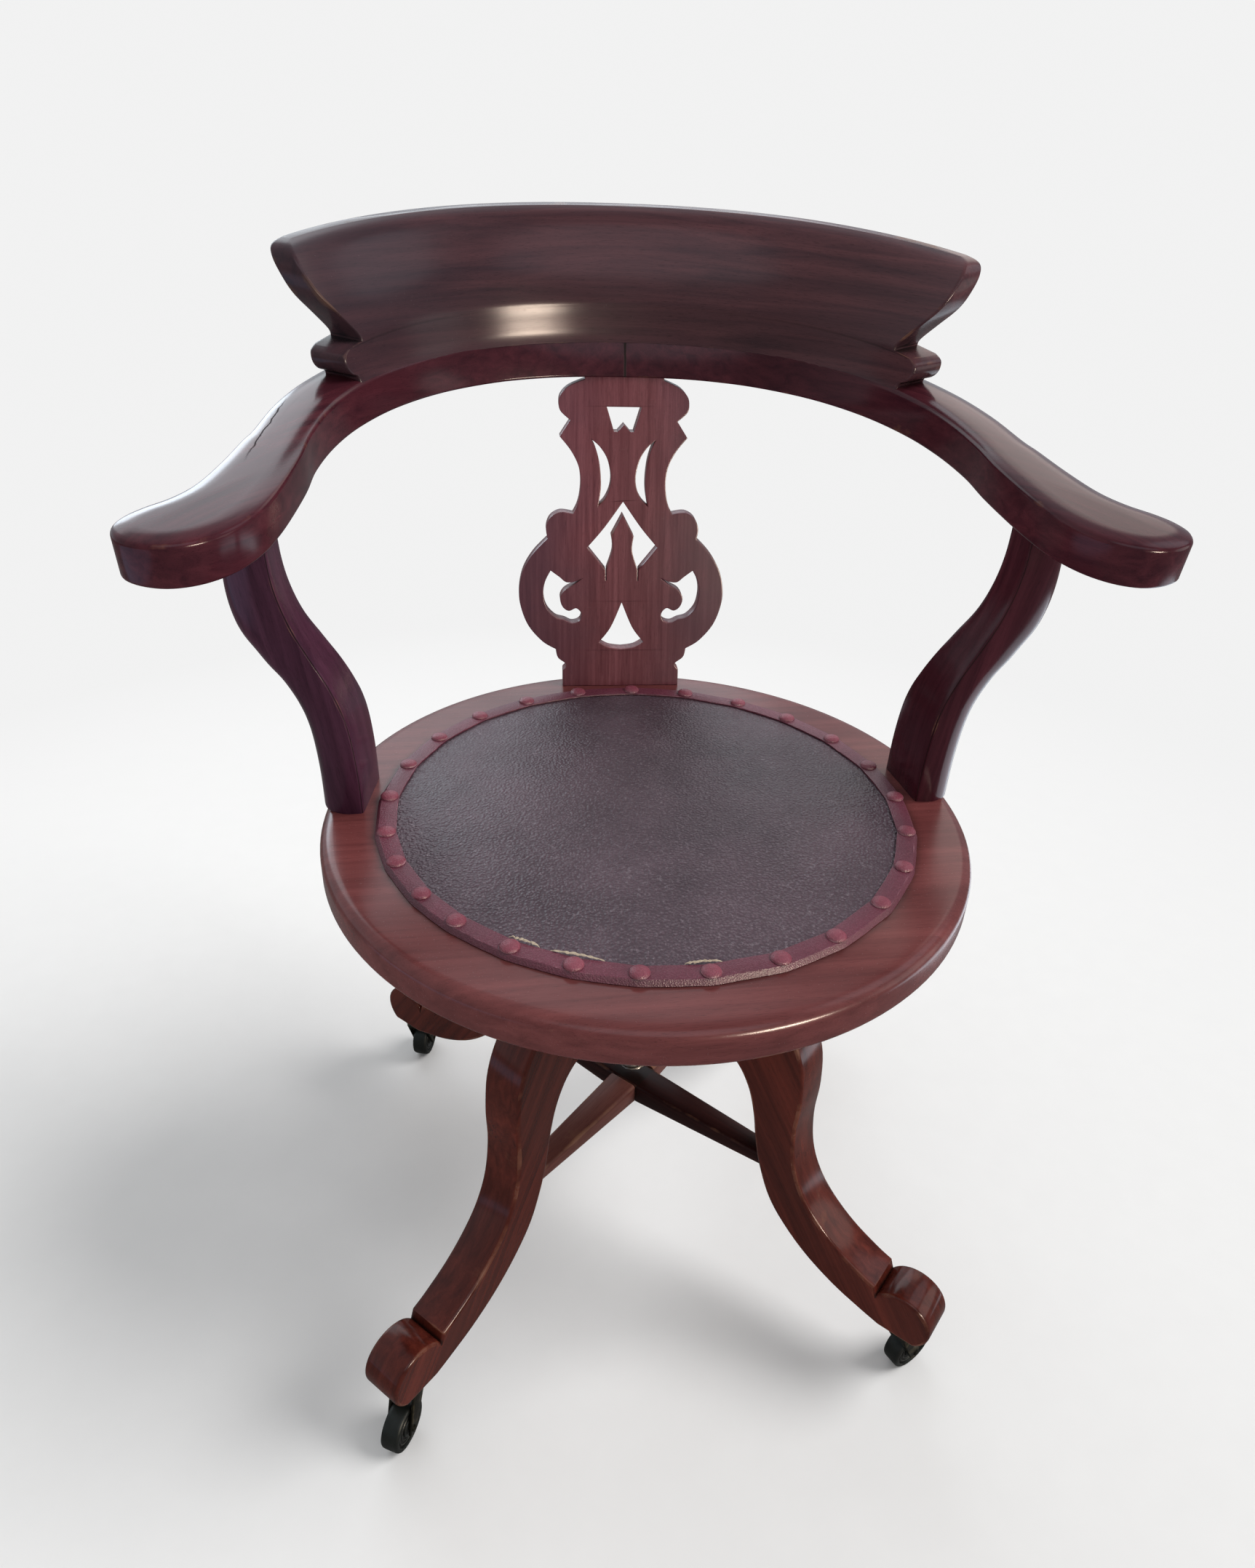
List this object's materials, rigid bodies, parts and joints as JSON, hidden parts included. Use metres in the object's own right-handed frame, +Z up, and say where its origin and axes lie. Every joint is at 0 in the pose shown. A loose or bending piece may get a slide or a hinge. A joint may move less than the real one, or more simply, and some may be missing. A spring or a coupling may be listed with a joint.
{
  "type": "swivel desk armchair",
  "caption": "Old wooden swivel desk chair: bow arm rail with flared crest, pierced splat, round leather seat, lifting screw, and scrolled legs on castors.",
  "frame": {"origin": "on the floor, under the middle of the chair's outer box; the swivel axis is 42.3 mm in front of it", "axes": "+Z up, +X to the right of someone who looks at the chair from the front, -Y towards where a sitter's knees point"},
  "size_m": [0.644, 0.5646, 0.8216],
  "materials": {
    "polished_mahogany": "gloss",
    "crest_mahogany": "gloss",
    "plain_hardwood": "matte",
    "seat_leather": "satin",
    "band_leather": "satin",
    "cast_iron": "matte",
    "dull_steel": "satin",
    "aged_brass": "satin",
    "blackened_iron": "satin"
  },
  "bodies": {
    "base": {"leg_front_left": "polished_mahogany", "leg_front_right": "polished_mahogany", "leg_rear_right": "polished_mahogany", "leg_rear_left": "polished_mahogany", "stretcher_front_left": "polished_mahogany", "stretcher_front_right": "polished_mahogany", "hub_block": "polished_mahogany", "hub_plate": "cast_iron", "castor_plate_front_left": "aged_brass", "castor_plate_front_right": "aged_brass", "castor_plate_rear_right": "aged_brass", "castor_plate_rear_left": "aged_brass"},
    "nut": {"adjuster_nut": "cast_iron"},
    "spindle": {"lift_spindle": "dull_steel"},
    "seat": {"seat_ring": "polished_mahogany", "seat_panel": "plain_hardwood", "seat_leather": "seat_leather", "seat_band": "band_leather", "arm_left": "polished_mahogany", "arm_right": "polished_mahogany", "crest_rail": "crest_mahogany", "back_splat": "polished_mahogany", "arm_support_left": "polished_mahogany", "arm_support_right": "polished_mahogany", "seat_spider": "cast_iron", "spider_screw_1": "dull_steel", "spider_screw_2": "dull_steel", "spider_screw_3": "dull_steel", "spider_screw_4": "dull_steel"},
    "castor_front_left": {"castor_fork_front_left": "aged_brass", "castor_axle_front_left": "aged_brass"},
    "castor_front_right": {"castor_fork_front_right": "aged_brass", "castor_axle_front_right": "aged_brass"},
    "castor_rear_right": {"castor_fork_rear_right": "aged_brass", "castor_axle_rear_right": "aged_brass"},
    "castor_rear_left": {"castor_fork_rear_left": "aged_brass", "castor_axle_rear_left": "aged_brass"},
    "wheel_front_left": {"castor_wheel_front_left": "blackened_iron"},
    "wheel_front_right": {"castor_wheel_front_right": "blackened_iron"},
    "wheel_rear_right": {"castor_wheel_rear_right": "blackened_iron"},
    "wheel_rear_left": {"castor_wheel_rear_left": "blackened_iron"}
  },
  "joints": [
    {"name": "nut_turn", "type": "hinge", "parent": "base", "child": "nut", "pos_m": [0, -0.0423, 0.3666], "axis": [0, 0, 1], "range_deg": [0, 2880]},
    {"name": "spindle_lift", "type": "slide", "parent": "base", "child": "spindle", "axis": [0, 0, 1], "range_m": [0, 0.08]},
    {"name": "seat_swivel", "type": "hinge", "parent": "spindle", "child": "seat", "pos_m": [0, -0.0423, 0.4], "axis": [0, 0, 1], "continuous": true},
    {"name": "castor_swivel_front_left", "type": "hinge", "parent": "base", "child": "castor_front_left", "pos_m": [-0.18853, -0.2466, 0.05], "axis": [0, 0, 1], "continuous": true},
    {"name": "castor_swivel_front_right", "type": "hinge", "parent": "base", "child": "castor_front_right", "pos_m": [0.20431, -0.23083, 0.05], "axis": [0, 0, 1], "continuous": true},
    {"name": "castor_swivel_rear_right", "type": "hinge", "parent": "base", "child": "castor_rear_right", "pos_m": [0.18853, 0.16201, 0.05], "axis": [0, 0, 1], "continuous": true},
    {"name": "castor_swivel_rear_left", "type": "hinge", "parent": "base", "child": "castor_rear_left", "pos_m": [-0.20431, 0.14623, 0.05], "axis": [0, 0, 1], "continuous": true},
    {"name": "castor_roll_front_left", "type": "hinge", "parent": "castor_front_left", "child": "wheel_front_left", "pos_m": [-0.19423, -0.25829, 0.0195], "axis": [-0.8988, 0.4384, 0], "continuous": true},
    {"name": "castor_roll_front_right", "type": "hinge", "parent": "castor_front_right", "child": "wheel_front_right", "pos_m": [0.21579, -0.22473, 0.0195], "axis": [0.4695, -0.8829, 0], "continuous": true},
    {"name": "castor_roll_rear_right", "type": "hinge", "parent": "castor_rear_right", "child": "wheel_rear_right", "pos_m": [0.19463, 0.17349, 0.0195], "axis": [0.8829, -0.4695, 0], "continuous": true},
    {"name": "castor_roll_rear_left", "type": "hinge", "parent": "castor_rear_left", "child": "wheel_rear_left", "pos_m": [-0.20094, 0.15879, 0.0195], "axis": [0.9659, -0.2588, 0], "continuous": true}
  ],
  "couplings": [
    {"joint": "spindle_lift", "follows": "nut_turn", "m_per_rad": 0.0015915}
  ]
}
